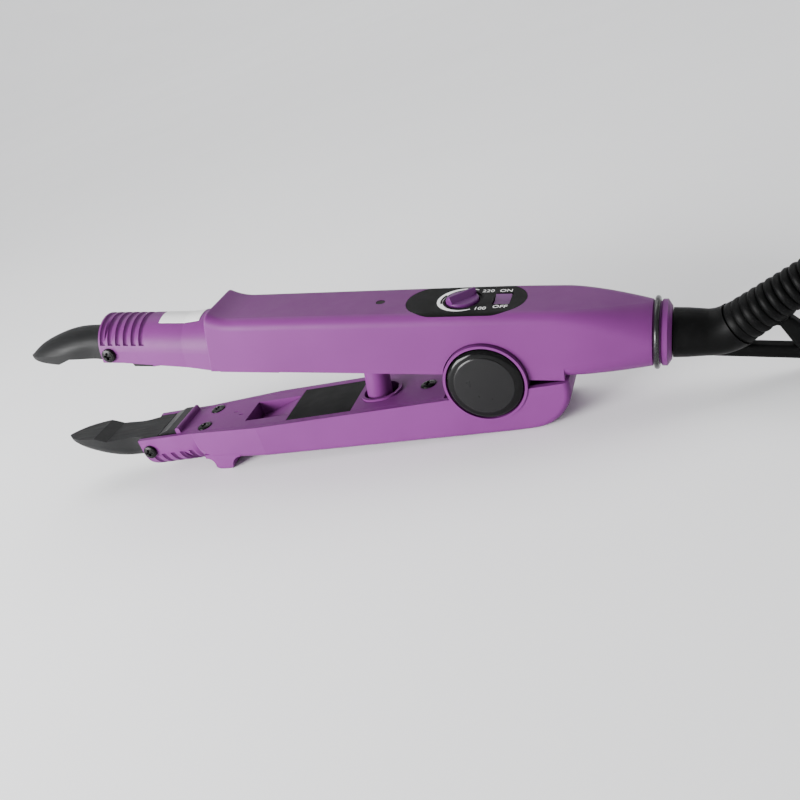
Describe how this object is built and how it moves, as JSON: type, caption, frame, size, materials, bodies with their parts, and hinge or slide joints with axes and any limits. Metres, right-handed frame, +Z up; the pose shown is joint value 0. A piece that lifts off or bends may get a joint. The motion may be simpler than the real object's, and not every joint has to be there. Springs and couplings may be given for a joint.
{
  "type": "hair extension iron",
  "caption": "Scissor-type hair extension fusion iron: two hinged arms with small heated jaws, dial, rocker switch and swivelling power lead.",
  "frame": {"origin": "on the floor under the middle of the iron (lead left out)", "axes": "+X from the jaws to the lead, +Y to the back, +Z up"},
  "size_m": [0.4534, 0.0592, 0.0629],
  "materials": {
    "housing": "satin",
    "jaw": "satin",
    "insulator": "matte",
    "panel": "gloss",
    "lens": "gloss",
    "label": "satin",
    "rubber": "matte",
    "plated": "polished",
    "steel": "satin",
    "screw": "satin",
    "heater": "matte",
    "wire": "matte",
    "board": "satin"
  },
  "bodies": {
    "lead": {"strain_relief": "rubber", "ribbed_sleeve": "rubber", "cord_lead": "rubber", "cord_hank": "rubber", "cord_tie": "rubber", "cord_tail": "rubber", "plug_body": "rubber", "plug_pins": "plated"},
    "upper_arm": {"upper_shell": "housing", "upper_cover": "housing", "upper_jaw": "jaw", "upper_heater": "heater", "upper_sensor": "heater", "upper_leads": "wire", "upper_guard": "insulator", "upper_jaw_screws": "screw", "control_panel": "panel", "dial_potentiometer": "insulator", "switch_body": "insulator", "led_lens": "lens", "indicator_lamp": "lens", "circuit_board": "board", "board_components": "insulator", "upper_cover_screws": "screw", "return_spring": "steel", "neck_collar": "housing", "neck_oring": "rubber", "nose_label": "label"},
    "lower_arm": {"lower_shell": "housing", "lower_cover": "housing", "lower_jaw": "jaw", "lower_heater": "heater", "lower_sensor": "heater", "lower_leads": "wire", "lower_guard": "insulator", "lower_jaw_screws": "screw", "label_plate": "insulator", "lower_cover_screws": "screw", "front_hub_cap": "panel", "rear_hub_cap": "panel", "pivot_pin": "steel", "pin_clip": "steel"},
    "dial": {"dial_knob": "housing", "dial_shaft": "insulator"},
    "rocker": {"power_rocker": "panel"}
  },
  "joints": [
    {"name": "lead_swivel", "type": "hinge", "parent": "lead", "child": "upper_arm", "pos_m": [0.11153, 0, 0.01935], "axis": [0.9807, 0, -0.1954], "continuous": true},
    {"name": "arm_hinge", "type": "hinge", "parent": "upper_arm", "child": "lower_arm", "pos_m": [0.05837, 0, 0.01862], "axis": [0, 1, 0], "range_deg": [0, 11.6], "stiffness_Nm_per_rad": 1, "springref_deg": -11.46, "deforming": ["return_spring"]},
    {"name": "dial_turn", "type": "hinge", "parent": "upper_arm", "child": "dial", "pos_m": [0.05511, 0, 0.03967], "axis": [0.1954, 0, 0.9807], "range_deg": [0, 267]},
    {"name": "rocker_tilt", "type": "hinge", "parent": "upper_arm", "child": "rocker", "pos_m": [0.06741, 0, 0.03742], "axis": [-0.9807, 0, 0.1954], "range_deg": [0, 16]}
  ]
}
